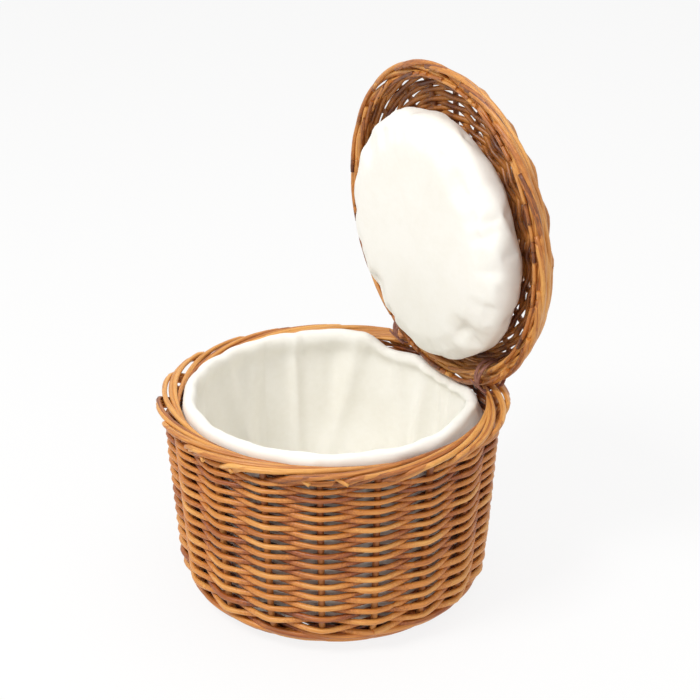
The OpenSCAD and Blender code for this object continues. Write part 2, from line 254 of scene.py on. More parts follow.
@dataclass(frozen=True)
class PlainCotton:
    """Washed unbleached cotton over a soft filling: fine plain weave, matt, with a faint nap."""
    name: str
    light: str = "#faf8f1"
    shade: str = "#f4f1e7"
    # Real threads lie about 0.5 mm apart. They are drawn at 1.1 mm, so that the weave shows near by.
    thread_mm: float = 1.1

    def material(self) -> bpy.types.Material:
        """Returns the node material of this cotton."""
        made, tree, shader = fresh_material(self.name)
        cloth = add_node(tree, "ShaderNodeAttribute", {"attribute_name": "cloth"}).outputs["Vector"]
        parts = add_node(tree, "ShaderNodeSeparateXYZ", links={"Vector": cloth})
        waves = [math_node(tree, "SINE", math_node(tree, "MULTIPLY", parts.outputs[i],
                                                   TURN / (self.thread_mm * MM))) for i in (0, 1)]
        weave = math_node(tree, "MULTIPLY", waves[0], waves[1])
        slub = add_node(tree, "ShaderNodeTexNoise", {"noise_dimensions": "3D"},
                        {"Vector": cloth, "Scale": 240.0, "Detail": 4.0}).outputs["Fac"]
        cloud = add_node(tree, "ShaderNodeTexNoise", {"noise_dimensions": "3D"},
                         {"Vector": cloth, "Scale": 14.0, "Detail": 5.0, "Roughness": 0.6}).outputs["Fac"]
        crease = add_node(tree, "ShaderNodeTexNoise", {"noise_dimensions": "3D"},
                          {"Vector": cloth, "Scale": 32.0, "Detail": 3.0, "Distortion": 0.8}).outputs["Fac"]
        colour = ramp(tree, math_node(tree, "ADD", math_node(tree, "MULTIPLY", cloud, 0.8),
                                      math_node(tree, "MULTIPLY", slub, 0.2)),
                      [(0.3, self.shade), (0.6, self.light)])
        soft = add_node(tree, "ShaderNodeBump", links={"Strength": 0.35, "Distance": 1.6 * MM,
                                                       "Height": crease})
        height = math_node(tree, "ADD", math_node(tree, "MULTIPLY", weave, 0.5), slub)
        bump = add_node(tree, "ShaderNodeBump", links={"Strength": 0.3, "Distance": 0.15 * MM,
                                                       "Height": height, "Normal": soft.outputs["Normal"]})
        tree.links.new(colour, shader.inputs["Base Color"])
        tree.links.new(bump.outputs["Normal"], shader.inputs["Normal"])
        shader.inputs["Roughness"].default_value = 0.92
        shader.inputs["Sheen Weight"].default_value = 0.12
        shader.inputs["Sheen Roughness"].default_value = 0.5
        return made


@dataclass(frozen=True)
class RawhideThong:
    """Soft tanned hide cut in narrow thongs: matt, purple-brown, rubbed paler in places."""
    name: str = "tanned_hide"

    def material(self) -> bpy.types.Material:
        """Returns the node material of the thongs."""
        made, tree, shader = fresh_material(self.name)
        grain = add_node(tree, "ShaderNodeAttribute", {"attribute_name": "grain"}).outputs["Vector"]
        place = add_node(tree, "ShaderNodeMapping", links={"Vector": grain, "Scale": (300.0, 1.5, 1.5)})
        rub = add_node(tree, "ShaderNodeTexNoise", {"noise_dimensions": "3D"},
                       {"Vector": place.outputs["Vector"], "Scale": 1.0, "Detail": 5.0}).outputs["Fac"]
        bump = add_node(tree, "ShaderNodeBump", links={"Strength": 0.5, "Distance": 0.3 * MM, "Height": rub})
        tree.links.new(ramp(tree, rub, [(0.3, "#6b4137"), (0.55, "#8f5e4e"), (0.75, "#a87966")]),
                       shader.inputs["Base Color"])
        tree.links.new(bump.outputs["Normal"], shader.inputs["Normal"])
        shader.inputs["Roughness"].default_value = 0.7
        return made


@dataclass(frozen=True)
class PaleFloor:
    """Plain white floor paper, which looks white to the camera and keeps a soft shadow."""
    name: str = "floor_paper"

    def material(self) -> bpy.types.Material:
        """Returns the node material of the floor."""
        made, tree, shader = fresh_material(self.name)
        shader.inputs["Base Color"].default_value = linear("#f1f0ee")
        shader.inputs["Roughness"].default_value = 0.9
        seen = seen_rays(tree)
        glow = add_node(tree, "ShaderNodeEmission", links={"Color": (1, 1, 1, 1), "Strength": 1.0})
        mixed = add_node(tree, "ShaderNodeMixShader",
                         links={0: math_node(tree, "MULTIPLY", seen, 0.85), 1: shader.outputs[0],
                                2: glow.outputs[0]})
        tree.links.new(mixed.outputs[0], tree.nodes["Material Output"].inputs["Surface"])
        return made


@dataclass
class Rod:
    """One willow rod: its centre line, its radius along it and its tone, with any painted light and shade."""
    path: list[Vector]
    radii: list[float]
    tones_and_painted_shade: list[float]


@dataclass
class RodBundle:
    """Rods that are drawn as bevelled curves and end as one mesh."""
    name: str
    bevel_steps: int = 2
    rods: list[Rod] = field(default_factory=list)

    def add(self, path: list[Vector], radii: list[float], tones_and_painted_shade: list[float]) -> None:
        """Adds a rod of the given centre line, radii, and tones with painted light and shade."""
        self.rods.append(Rod(path, radii, tones_and_painted_shade))

    def _curve(self) -> bpy.types.Curve:
        """Returns a curve with one spline for each rod."""
        curve = bpy.data.curves.new(self.name + "_line", "CURVE")
        curve.dimensions = "3D"
        curve.bevel_depth = 1.0
        curve.bevel_resolution = self.bevel_steps
        curve.twist_mode = "MINIMUM"
        for rod in self.rods:
            spline = curve.splines.new("POLY")
            spline.points.add(len(rod.path) - 1)
            spline.points.foreach_set("co", [c for p in rod.path for c in (*p, 1.0)])
            spline.points.foreach_set("radius", rod.radii)
        return curve

    def build(self, finish: bpy.types.Material, body: Body, slot: str,
              place: Matrix | None = None) -> bpy.types.Object:
        """Makes the mesh piece.

        Args:
            finish: The rods' material.
            body: The body that the piece rides on.
            slot: The record's material slot; not used.
            place: A turn for pieces drawn in the closed lid.

        Returns:
            The finished object.
        """
        holder = bpy.data.objects.new(self.name + "_line", self._curve())
        bpy.context.scene.collection.objects.link(holder)
        graph = bpy.context.evaluated_depsgraph_get()
        mesh = bpy.data.meshes.new_from_object(holder.evaluated_get(graph))
        curve = holder.data
        bpy.data.objects.remove(holder)
        bpy.data.curves.remove(curve)
        points = sum(len(rod.path) for rod in self.rods)
        ring = len(mesh.vertices) // points
        if ring * points != len(mesh.vertices):
            raise ValueError(f"{self.name}: {len(mesh.vertices)} vertices for {points} points")
        along = [np.concatenate([[0.0], np.cumsum([(b - a).length for a, b in zip(r.path, r.path[1:])])])
                 for r in self.rods]
        lengths = np.repeat(np.concatenate(along), ring)
        angles = np.tile(np.arange(ring) * TURN / ring, points)
        grain = np.stack([lengths, np.cos(angles), np.sin(angles)], 1).astype(np.float32)
        # Each point's tone: the rod's own lightness, with the painted shade and light that the weaving laid on.
        tone_and_painted_shade = np.repeat(np.concatenate([r.tones_and_painted_shade for r in self.rods]), ring).astype(np.float32)
        mesh.attributes.new("grain", "FLOAT_VECTOR", "POINT").data.foreach_set("vector", grain.ravel())
        mesh.attributes.new("tone_and_painted_shade", "FLOAT", "POINT").data.foreach_set("value", tone_and_painted_shade)
        mesh.shade_smooth()
        self._close_ends(mesh)
        return finish_piece(self.name, mesh, finish, body, place)

    def _close_ends(self, mesh: bpy.types.Mesh) -> None:
        """Closes the open ends of the tubes with flat cut faces."""
        made = bmesh.new()
        made.from_mesh(mesh)
        open_edges = [edge for edge in made.edges if edge.is_boundary]
        for face in bmesh.ops.holes_fill(made, edges=open_edges, sides=0)["faces"]:
            face.smooth = False
        bmesh.ops.recalc_face_normals(made, faces=made.faces)
        made.to_mesh(mesh)
        made.free()


def finish_piece(name: str, mesh: bpy.types.Mesh, finish: bpy.types.Material, body: Body,
                 place: Matrix | None = None) -> bpy.types.Object:
    """Puts a mesh into the scene as a piece.

    Args:
        name: The piece's name.
        mesh: Its final mesh.
        finish: Its material.
        body: The body that it rides on.
        place: A turn for pieces drawn in the closed lid.

    Returns:
        The piece, riding on its body.
    """
    if place is not None:
        mesh.transform(place)
    mesh.materials.clear()
    mesh.materials.append(finish)
    mesh.name = name
    piece = bpy.data.objects.new(name, mesh)
    bpy.context.scene.collection.objects.link(piece)
    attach(piece, body.value)
    mesh.calc_loop_triangles()
    LOG.info("%s: %d triangles", name, len(mesh.loop_triangles))
    return piece


def wall_surface(s: float) -> tuple[float, float, float, float]:
    """Returns radius, height and outward normal of the wall's middle, s from the foot's bottom."""
    mid = FOOT_R - WALL_MID
    bend = mid * (math.pi / 2 - LEAN)
    if s < bend:
        angle = -math.pi / 2 + s / mid
        return (FOOT_C + mid * math.cos(angle), FOOT_R + mid * math.sin(angle),
                math.cos(angle), math.sin(angle))
    run = s - bend
    return (FOOT_C + mid * math.cos(LEAN) + run * math.sin(LEAN),
            FOOT_R - mid * math.sin(LEAN) + run * math.cos(LEAN), math.cos(LEAN), -math.sin(LEAN))


WALL_BEND = (FOOT_R - WALL_MID) * (math.pi / 2 - LEAN)
WALL_TOP = WALL_BEND + (BODY_H - FOOT_R + (FOOT_R - WALL_MID) * math.sin(LEAN)) / math.cos(LEAN)


def base_surface(s: float) -> tuple[float, float, float, float]:
    """Returns radius, height and downward normal of the base's middle, s from the centre."""
    return s, WALL_MID, 0.0, -1.0


def lid_surface(s: float) -> tuple[float, float, float, float]:
    """Returns radius, height and outward normal of the closed lid's middle, s from the centre."""
    if s < DISH_R:
        return s, LID_Z + DISH_MID, 0.0, 1.0
    angle = min((s - DISH_R) / DISH_MID, math.pi / 2)
    return (DISH_R + DISH_MID * math.sin(angle), LID_Z + DISH_MID * math.cos(angle),
            math.sin(angle), math.cos(angle))


def zigzag(x: float) -> float:
    """Returns a wave from -1 to 1 with straight flanks and small round turns."""
    return math.asin(0.95 * math.cos(x)) / math.asin(0.95)


def on_surface(surface: Surface, s: float, azimuth: float, out: float) -> Vector:
    """Returns the point at s and azimuth of a turned surface, out from it along its normal."""
    r, z, nr, nz = surface(s)
    r, z = r + out * nr, z + out * nz
    return Vector((r * math.cos(azimuth), r * math.sin(azimuth), z))


@dataclass
class Weaver:
    """Weavers that wind over and under the sticks of a turned surface."""
    bundle: RodBundle
    surface: Surface
    sticks: int
    turn: float
    seed: int
    samples: int = 8

    def _tone_with_painted_shade(self, rng: random.Random, count: int, shade: list[float]) -> list[float]:
        """Returns one rod's tone: its own lightness, painted shade where it dips, painted light in front."""
        own = min(0.85, max(0.25, rng.gauss(0.54, 0.12)))
        # Painted shade: the rod is drawn darker where it passes behind a stick, and a little lighter in front.
        return [own + 0.34 * min(0.5, shade[i]) for i in range(count)]

    def rand(self, start: float, pitch: Callable[[float], float], turns: int, reach: float,
             radius: float, length: float = 0.95, thinning: float = 0.0,
             clear: Callable[[Vector], Vector] | None = None) -> None:
        """Winds single weavers in front of one stick and behind the next.

        Args:
            start: Where the first row lies along the surface.
            pitch: Rise of a row, by the turns made so far.
            turns: Number of rows.
            reach: How far a weaver stands out from the sticks' middle line.
            radius: Middle radius of a weaver.
            length: About how long one weaver is.
            thinning: Share of the radius that the last row has lost.
            clear: Moves a point out of a space that has to stay free.
        """
        rng = random.Random(self.seed)
        steps = self.sticks * self.samples
        place, path, radii, shade, run, goal, wander = start, [], [], [], 0.0, length, 0.0
        for i in range(turns * steps + 1):
            azimuth = self.turn + i * TURN / steps
            row = i // steps
            wave = zigzag(self.sticks / 2 * (azimuth - self.turn))
            if self.sticks % 2 == 0:
                share = min(1.0, (i - row * steps) / self.samples)
                side = 1 - 2 * (row % 2)
                wave = wave * (side * share - side * (1 - share) if row else side)
            wander += (rng.gauss(0, 0.10 * MM) - 0.12 * wander)
            out = reach * wave
            point = on_surface(self.surface, place + wander, azimuth, out)
            path.append(clear(point) if clear else point)
            thin = (1.1 - 0.2 * run / length) * (1 + thinning * (0.5 - row / turns))
            radii.append(radius * thin * (1 + 0.03 * math.sin(i * 0.9) + rng.gauss(0, 0.012)))
            shade.append(wave)
            place += pitch(i / steps) / steps
            if len(path) > 1:
                run += (path[-1] - path[-2]).length
            if run > goal or i == turns * steps:
                if len(path) > 2:
                    radii[0], radii[-1] = radii[0] * 0.8, radii[-1] * 0.7
                    # The rod's tone carries painted shade where it dips behind the sticks.
                    self.bundle.add(path, radii, self._tone_with_painted_shade(rng, len(path), shade))
                path, radii, shade = path[-3:], radii[-3:], shade[-3:]
                run, goal = 0.0, length * rng.uniform(0.7, 1.25)

    def wale(self, start: float, rise: float, turns: float, reach: float, radius: float) -> None:
        """Winds three weavers, each in front of two sticks and behind one.

        Args:
            start: Where the first round lies along the surface.
            rise: Rise of a round.
            turns: Number of rounds.
            reach: How far a weaver stands out from the sticks' middle line.
            radius: Middle radius of a weaver.
        """
        rng = random.Random(self.seed + 1)
        steps = self.sticks * self.samples
        for strand in range(3):
            path, radii, shade, wander = [], [], [], 0.0
            own = rng.uniform(0.9, 1.1)
            for i in range(int(turns * steps) + 1):
                azimuth = self.turn + i * TURN / steps
                stroke = (i / self.samples - strand) % 3
                gap = min(stroke, 3 - stroke)
                wave = 1 - 1.9 * math.exp(-(gap / 0.62) ** 2)
                wander += rng.gauss(0, 0.12 * MM) - 0.1 * wander
                place = start + rise * i / steps + 1.5 * MM * math.sin(TURN * stroke / 3) + wander
                path.append(on_surface(self.surface, place, azimuth, reach * wave))
                radii.append(radius * own * (1 + rng.gauss(0, 0.02)))
                shade.append(wave)
                if len(path) >= 34 * self.samples or i == int(turns * steps):
                    if len(path) > 2:
                        # The strand's tone carries painted shade where it dips behind the sticks.
                        self.bundle.add(path, radii, self._tone_with_painted_shade(rng, len(path), shade))
                    path, radii, shade = path[-2:], radii[-2:], shade[-2:]


def lid_reach(x: float) -> float:
    """Returns how far the lid's border reaches from the hinge line, at x along it."""
    edge = LID_R + 0.003
    across = math.sqrt(max(0.0, edge * edge - x * x)) - HINGE_Y
    return math.hypot(max(0.0, across), HINGE_Z - LID_Z) + 0.005


def out_of_lid_way(point: Vector) -> Vector:
    """Moves a point of the basket out of the space that the lid's back edge swings through."""
    beyond = (abs(point.x) - TIE_X - 0.006) / 0.024
    if beyond > 1 or point.y < 0:
        return point
    need = lid_reach(point.x) + 0.0028
    away = Vector((0, point.y - HINGE_Y, point.z - HINGE_Z))
    if away.length >= need:
        return point
    away = away.normalized() * need
    moved = Vector((point.x, HINGE_Y + away.y, HINGE_Z + away.z))
    return moved.lerp(point, max(0.0, beyond))


@dataclass
class PlaitedBorder:
    """A ring of rods that each run from the outside over the top to the inside."""
    bundle: RodBundle
    radius: float
    height: float
    half_width: float
    half_height: float
    rods: int
    span: float
    rod_radius: float
    turn: float
    seed: int
    hooked: bool = True
    low: float = 0.0
    together: int = 2
    samples: int = 34
    clear: Callable[[Vector], Vector] | None = None

    def inner_limit(self, azimuth: float) -> float:
        """Returns the smallest radius that the ring's rods may lie at, at an azimuth."""
        if self.clear is None:
            return self.radius - self.half_width
        inner = self.radius - self.half_width
        probe = self.clear(Vector((inner * math.cos(azimuth), inner * math.sin(azimuth), self.height)))
        return min(math.hypot(probe.x, probe.y), self.radius + self.half_width * 0.35)

    def build(self) -> None:
        """Adds the ring's rods to the bundle."""
        rng = random.Random(self.seed)
        for k in range(self.rods):
            pair = k // self.together * self.together
            start = self.turn + (pair + 0.4 * (k - pair)) * TURN / self.rods + rng.uniform(-0.012, 0.012)
            span = self.span * rng.uniform(0.88, 1.14)
            own = min(0.9, max(0.2, rng.gauss(0.52, 0.17)))
            lift = rng.uniform(-0.7, 0.25) * MM
            path, radii, tones_and_painted_shade = [], [], []
            for i in range(self.samples + 1):
                u = i / self.samples
                azimuth = start + u * span
                if self.hooked:
                    turned = -50 + 75 * min(1.0, u / 0.12) + 205 * max(0.0, u - 0.12) / 0.88
                else:
                    turned = -60 + 290 * u
                angle = math.radians(turned)
                inner, outer = self.inner_limit(azimuth), self.radius + self.half_width
                middle, half = (inner + outer) / 2, (outer - inner) / 2
                r = middle + half * math.cos(angle)
                z = self.height + self.half_height * math.sin(angle) + lift * math.sin(math.pi * u)
                if self.hooked and i < 5:
                    share = (i / 5) ** 2 * (3 - 0.4 * i)
                    r = (self.radius - 2.6 * MM) * (1 - share) + r * share
                    z = (self.height - self.low) * (1 - share) + z * share
                path.append(Vector((r * math.cos(azimuth), r * math.sin(azimuth), z)))
                radii.append(self.rod_radius * (1.08 - 0.22 * u) * (1 + rng.gauss(0, 0.02)))
                # Painted light: each rod is drawn lighter over the top of the ring and darker underneath.
                tones_and_painted_shade.append(own + 0.14 * math.sin(angle))
            self.bundle.add(path, radii, tones_and_painted_shade)


@dataclass
class BasketBody:
    """The woven body: stakes, wall, foot, base and plaited border."""
    willow: bpy.types.Material
    pale: bpy.types.Material

    def foot(self) -> None:
        """Builds the waling rounds that turn the corner at the foot."""
        bundle = RodBundle("foot_rods")
        Weaver(bundle, wall_surface, STAKES, STAKE_TURN, 11).wale(2.0 * MM, 7.0 * MM, 4.35, 4.5 * MM, 2.8 * MM)
        piece = bundle.build(self.willow, Body.BASKET, "rod")
        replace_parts(piece, "foot_wale")

    def wall(self) -> None:
        """Builds the randed rows of the wall, tighter towards the top."""
        bundle = RodBundle("wall_rods")
        rows, start, stop = 31, 34.0 * MM, WALL_TOP - 2.0 * MM
        mean = (stop - start) / rows

        def pitch(turns: float) -> float:
            """Returns the rise of a row after so many turns."""
            return mean * (1.2 - 0.4 * turns / rows)

        Weaver(bundle, wall_surface, STAKES, STAKE_TURN, 7).rand(
            start, pitch, rows, 4.7 * MM, 2.45 * MM, thinning=0.24, clear=out_of_lid_way)
        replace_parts(bundle.build(self.willow, Body.BASKET, "weave"), "side_weave")

    def base(self) -> None:
        """Builds the rows round the base's crossed rods."""
        bundle = RodBundle("base_rods", bevel_steps=1)
        Weaver(bundle, base_surface, 18, 0.0, 5, samples=6).rand(
            37 * MM, lambda turns: 3.9 * MM, 17, 4.6 * MM, 1.9 * MM)
        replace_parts(bundle.build(self.willow, Body.BASKET, "weave"), "base_weave")

    def border(self) -> None:
        """Builds the plaited border, with the cut tips that stand out under it."""
        bundle = RodBundle("border_rods", bevel_steps=3)
        PlaitedBorder(bundle, BORDER_R, BORDER_Z, 9.5 * MM, 2.6 * MM, 3 * STAKES, math.radians(80),
                      2.05 * MM, STAKE_TURN, 21, low=11 * MM, together=3, clear=out_of_lid_way).build()
        rng = random.Random(4)
        for k in range(STAKES):
            if rng.random() < 0.6 or math.sin(STAKE_TURN + k * TURN / STAKES) > 0.7:
                continue
            azimuth = STAKE_TURN + (k + rng.uniform(0.2, 0.8)) * TURN / STAKES
            path = []
            for i in range(5):
                at = azimuth + 0.018 * i
                r = BORDER_R + (2.5 + 1.4 * i) * MM
                path.append(Vector((r * math.cos(at), r * math.sin(at), BORDER_Z - (0.6 + 1.15 * i) * MM)))
            tone_and_painted_shade = rng.uniform(0.5, 0.85)
            bundle.add(path, [1.8 * MM] * 5, [tone_and_painted_shade] * 4 + [0.95])
        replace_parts(bundle.build(self.pale, Body.BASKET, "rod"), "top_border")

    def build(self) -> None:
        """Builds every woven part of the body."""
        self.foot()
        self.wall()
        self.base()
        self.border()


@dataclass
class WovenLid:
    """The woven dish of the lid and its border."""
    willow: bpy.types.Material
    pale: bpy.types.Material

    def dish(self) -> None:
        """Builds the randed rows of the dish and the waled rounds at its edge."""
        bundle = RodBundle("lid_rods", bevel_steps=2)
        rows, start = 25, 27 * MM
        stop = DISH_R + DISH_MID * math.radians(42)
        Weaver(bundle, lid_surface, 20, 0.0, 31, samples=7).rand(
            start, lambda turns: (stop - start) / rows, rows, 3.9 * MM, 2.45 * MM)
        Weaver(bundle, lid_surface, 20, 0.0, 33, samples=7).wale(
            stop + 2.0 * MM, 5.2 * MM, 2.6, 3.6 * MM, 2.3 * MM)
        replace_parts(bundle.build(self.willow, Body.LID, "weave", lid_place()), "lid_weave")

    def border(self) -> None:
        """Builds the lid's plaited border."""
        bundle = RodBundle("lid_border_rods", bevel_steps=2)
        PlaitedBorder(bundle, LID_R, LID_Z, 5.8 * MM, 2.8 * MM, 54, math.radians(70), 2.05 * MM,
                      0.1, 41, hooked=False, together=3).build()
        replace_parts(bundle.build(self.pale, Body.LID, "rod", lid_place()), "lid_border")

    def build(self) -> None:
        """Builds every woven part of the lid."""
        self.dish()
        self.border()


@dataclass
class HingeThongs:
    """Two thongs, each wound twice round both borders and tied."""
    hide: bpy.types.Material
    flat: float = 0.55
    knot_angle: float = math.radians(210)

    def loop_point(self, angle: float, radius: float, x: float) -> Vector:
        """Returns a point round the hinge line, at an angle from +Y towards +Z."""
        return Vector((x, HINGE_Y + radius * math.cos(angle), HINGE_Z + radius * math.sin(angle)))

    def tie(self, side: int) -> None:
        """Builds one thong: two crossing turns, a knot and two short ends."""
        name = "thong_left" if side < 0 else "thong_right"
        bundle = RodBundle(name, bevel_steps=2)
        steps = 72
        for turn in (-1, 1):
            path = []
            for i in range(steps + 1):
                angle = self.knot_angle + i * TURN / steps
                x = side * TIE_X + turn * 2.6 * MM * math.sin(angle - self.knot_angle)
                radius = LOOP_R + 0.35 * MM * math.cos(2 * (angle - self.knot_angle)) + turn * 0.3 * MM
                path.append(self.loop_point(angle, radius, x))
            bundle.add(path, [1.75 * MM] * (steps + 1), [0.5] * (steps + 1))
        for turn in (-1, 1):
            path = [self.loop_point(self.knot_angle + turn * 0.07 * i, LOOP_R + (0.4 + 0.5 * i) * MM,
                                    side * TIE_X + turn * 1.35 * MM * i) for i in range(6)]
            bundle.add(path, [1.7 * MM] * 4 + [1.5 * MM, 1.1 * MM], [0.5] * 6)
        knot = [self.loop_point(self.knot_angle + 0.08 * (i - 2), LOOP_R + 0.6 * MM,
                                side * TIE_X + (i - 2) * 1.3 * MM) for i in range(5)]
        bundle.add(knot, [1.3 * MM, 2.2 * MM, 2.5 * MM, 2.2 * MM, 1.3 * MM], [0.4] * 5)
        piece = bundle.build(self.hide, Body.BASKET, "thong")
        self._flatten(piece, side * TIE_X)
        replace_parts(piece, "hinge_thong_left" if side < 0 else "hinge_thong_right")

    def _flatten(self, piece: bpy.types.Object, x: float) -> None:
        """Presses the round strands flat against what they hold."""
        for vertex in piece.data.vertices:
            away = Vector((0, vertex.co.y - HINGE_Y, vertex.co.z - HINGE_Z))
            reach = LOOP_R + (away.length - LOOP_R) * self.flat
            away = away.normalized() * reach
            vertex.co = Vector((x + (vertex.co.x - x) * 1.25, HINGE_Y + away.y, HINGE_Z + away.z))

    def build(self) -> None:
        """Builds both thongs."""
        self.tie(-1)
        self.tie(1)


def store_cloth(mesh: bpy.types.Mesh, points: np.ndarray) -> None:
    """Keeps the coordinates that the cotton's pattern follows, one for each vertex."""
    layer = mesh.attributes.get("cloth") or mesh.attributes.new("cloth", "FLOAT_VECTOR", "POINT")
    layer.data.foreach_set("vector", points.astype(np.float32).ravel())


def vertex_points(mesh: bpy.types.Mesh) -> np.ndarray:
    """Returns the mesh's vertices as rows of x, y and z."""
    points = np.zeros(len(mesh.vertices) * 3, np.float32)
    mesh.vertices.foreach_get("co", points)
    return points.reshape(-1, 3).astype(float)


def subdivided(mesh: bpy.types.Mesh, levels: int) -> bpy.types.Mesh:
    """Returns the mesh smoothed by subdivision."""
    holder = bpy.data.objects.new("smoothing", mesh)
    bpy.context.scene.collection.objects.link(holder)
    smooth = holder.modifiers.new("smooth", "SUBSURF")
    smooth.levels = smooth.render_levels = levels
    graph = bpy.context.evaluated_depsgraph_get()
    made = bpy.data.meshes.new_from_object(holder.evaluated_get(graph))
    bpy.data.objects.remove(holder)
    return made


def spun(profile: list[tuple[float, float]], steps: int) -> bmesh.types.BMesh:
    """Spins an outline of radius and height round the Z axis.

    Args:
        profile: Points from one end on the axis to the other.
        steps: Segments round the axis.

    Returns:
        A closed bmesh whose faces point outwards.
    """
    made = bmesh.new()
    points = [made.verts.new((r, 0, z)) for r, z in profile]
    edges = [made.edges.new(pair) for pair in zip(points, points[1:])]
    bmesh.ops.spin(made, geom=points + edges, cent=(0, 0, 0), axis=(0, 0, 1), dvec=(0, 0, 0),
                   angle=TURN, steps=steps, use_merge=True, use_duplicate=False)
    bmesh.ops.remove_doubles(made, verts=made.verts, dist=0.02 * MM)
    bmesh.ops.recalc_face_normals(made, faces=made.faces)
    return made


def bell(x: float, width: float) -> float:
    """Returns a smooth hump of height 1 at 0."""
    return math.exp(-(x / width) ** 2)


@dataclass
class PaddedLiner:
    """The padded cotton liner with its puffy rolled hem, folds and pleats."""
    cotton: bpy.types.Material
    # How far the hem hangs in from the border beside the right thong, in mm
    slack: float = 4.6
    # Azimuth in degrees, lean in degrees towards the foot, width in degrees and depth in mm
    folds: tuple[tuple[float, float, float, float], ...] = (
        (166, 0, 2.6, 4.0), (150, -3, 5.5, -2.2), (184, 14, 4.5, 3.4), (203, -20, 4.0, 3.6),
        (222, 12, 5.0, 3.2), (136, 22, 4.5, 3.4), (120, -8, 3.5, 3.2), (103, 8, 3.2, 5.0),
        (94, -6, 2.6, 4.4), (84, 5, 3.4, 4.2), (70, 16, 5.0, 3.0), (52, -8, 6.0, 3.0),
        (30, 0, 7.0, 2.4), (8, 6, 6.0, 2.6), (-16, -5, 7.0, 2.2), (-44, 6, 6.0, 2.4),
        (-70, -8, 7.0, 2.4), (-96, 5, 6.0, 2.6), (-120, -6, 6.0, 2.8))

    def outline(self) -> list[tuple[float, float]]:
        """Returns the liner's closed outline at the front, from its underside to its floor."""
        points = [(0.0, 15.6), (50.0, 15.6), (FOOT_C / MM, 15.6)]
        outer = FOOT_R / MM - 15.6
        for i in range(1, 7):
            angle = -math.pi / 2 + (math.pi / 2 - LEAN) * i / 6
            points.append((FOOT_C / MM + outer * math.cos(angle), 40 + outer * math.sin(angle)))
        knee_r, knee_z = points[-1]
        for z in (60, 80, 100, 120, 140, 158, 172):
            points.append((knee_r + (z - knee_z) * math.tan(LEAN), z))
        points += [(134.6, 180), (135.4, 186), (134.4, 190.2), (131.6, 192.4), (128.6, 192.8),
                   (125.6, 191.2), (123.9, 187.6), (123.7, 183.4), (124.6, 178.5)]
        inner = FOOT_R / MM - 22.6
        high = FOOT_C / MM + inner * math.cos(LEAN)
        for z in (170, 158, 142, 126, 110, 94, 78, 62, 48):
            points.append((high + (z - 40) * math.tan(LEAN), z))
        for i in range(5, -1, -1):
            angle = -math.pi / 2 + (math.pi / 2 - LEAN) * i / 6
            points.append((FOOT_C / MM + inner * math.cos(angle), 40 + inner * math.sin(angle)))
        points += [(80, 22.6), (50, 22.8), (22, 23.2), (0.0, 23.4)]
        return [(r * MM, z * MM) for r, z in points]

    def hem_drop(self, azimuth: float) -> float:
        """Returns how far the hem dips under the lid's back edge and the thongs."""
        x = abs(0.136 * math.cos(azimuth))
        if math.sin(azimuth) < 0:
            return 0.0
        low = HINGE_Z - max(lid_reach(x), LOOP_R + 0.0025) - 0.0022
        away = min(1.0, max(0.0, (x - TIE_X - 0.008) / 0.024))
        away = away * away * (3 - 2 * away)
        return max(0.0, 0.1935 - low) * (1 - away)

    def shape(self, point: Vector) -> Vector:
        """Moves one point of the spun form into its folds."""
        r, azimuth = math.hypot(point.x, point.y), math.atan2(point.y, point.x)
        if r < 1 * MM:
            return point
        wall = min(1.0, max(0.0, (point.z - 0.024) / 0.05))
        outside = 1.0 if r > FOOT_C + (FOOT_R - 0.019) * math.cos(LEAN) + (point.z - 0.04) * math.tan(LEAN) else 0.0
        hem = min(1.0, max(0.0, (point.z - 0.176) / 0.010))
        push, side = 0.0, 180.0
        if not outside or hem > 0:
            for where, lean, width, depth in self.folds:
                centre = math.radians(where + lean * (1 - point.z / 0.19))
                gap = math.degrees((azimuth - centre + math.pi) % TURN - math.pi)
                push += 1.5 * depth * bell(gap, width) * wall * (0.5 if hem > 0 else 1.0)
            side = math.degrees((azimuth - math.radians(40) + math.pi) % TURN - math.pi)
            push += self.slack * bell(side, 24) * min(1.0, max(0.0, (point.z - 0.13) / 0.05))
            wrinkle = noise.noise(Vector((math.cos(azimuth) * 5, math.sin(azimuth) * 5, point.z * 26)))
            crumple = noise.noise(Vector((math.cos(azimuth) * 19, math.sin(azimuth) * 19, point.z * 60)))
            push += (1.5 * wrinkle + 0.8 * crumple) * wall
            if hem > 0:
                push = push if not outside else max(1.5 * self.slack * bell(side, 24), 0.35 * push)
        r -= max(-0.3, push) * MM if outside else push * MM
        drop = self.hem_drop(azimuth)
        share = min(1.0, max(0.0, (point.z - 0.120) / 0.068))
        z = point.z - drop * share * share
        if hem > 0:
            z += 0.8 * MM * hem * noise.noise(Vector((math.cos(azimuth) * 8, math.sin(azimuth) * 8, 3)))
            if drop > 0.001:
                r -= 1.2 * MM * hem
        return Vector((r * math.cos(azimuth), r * math.sin(azimuth), z))

    def build(self) -> None:
        """Builds the liner."""
        made = spun(self.outline(), 220)
        for vertex in made.verts:
            vertex.co = self.shape(vertex.co)
        mesh = bpy.data.meshes.new("padded_liner")
        made.to_mesh(mesh)
        made.free()
        mesh = subdivided(mesh, 1)
        points = vertex_points(mesh)
        azimuth = np.arctan2(points[:, 1], points[:, 0])
        store_cloth(mesh, np.stack([azimuth * 0.125, points[:, 2], np.hypot(points[:, 0], points[:, 1])], 1))
        mesh.shade_smooth()
        piece = finish_piece("padded_liner", mesh, self.cotton, Body.BASKET)
        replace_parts(piece, "liner")


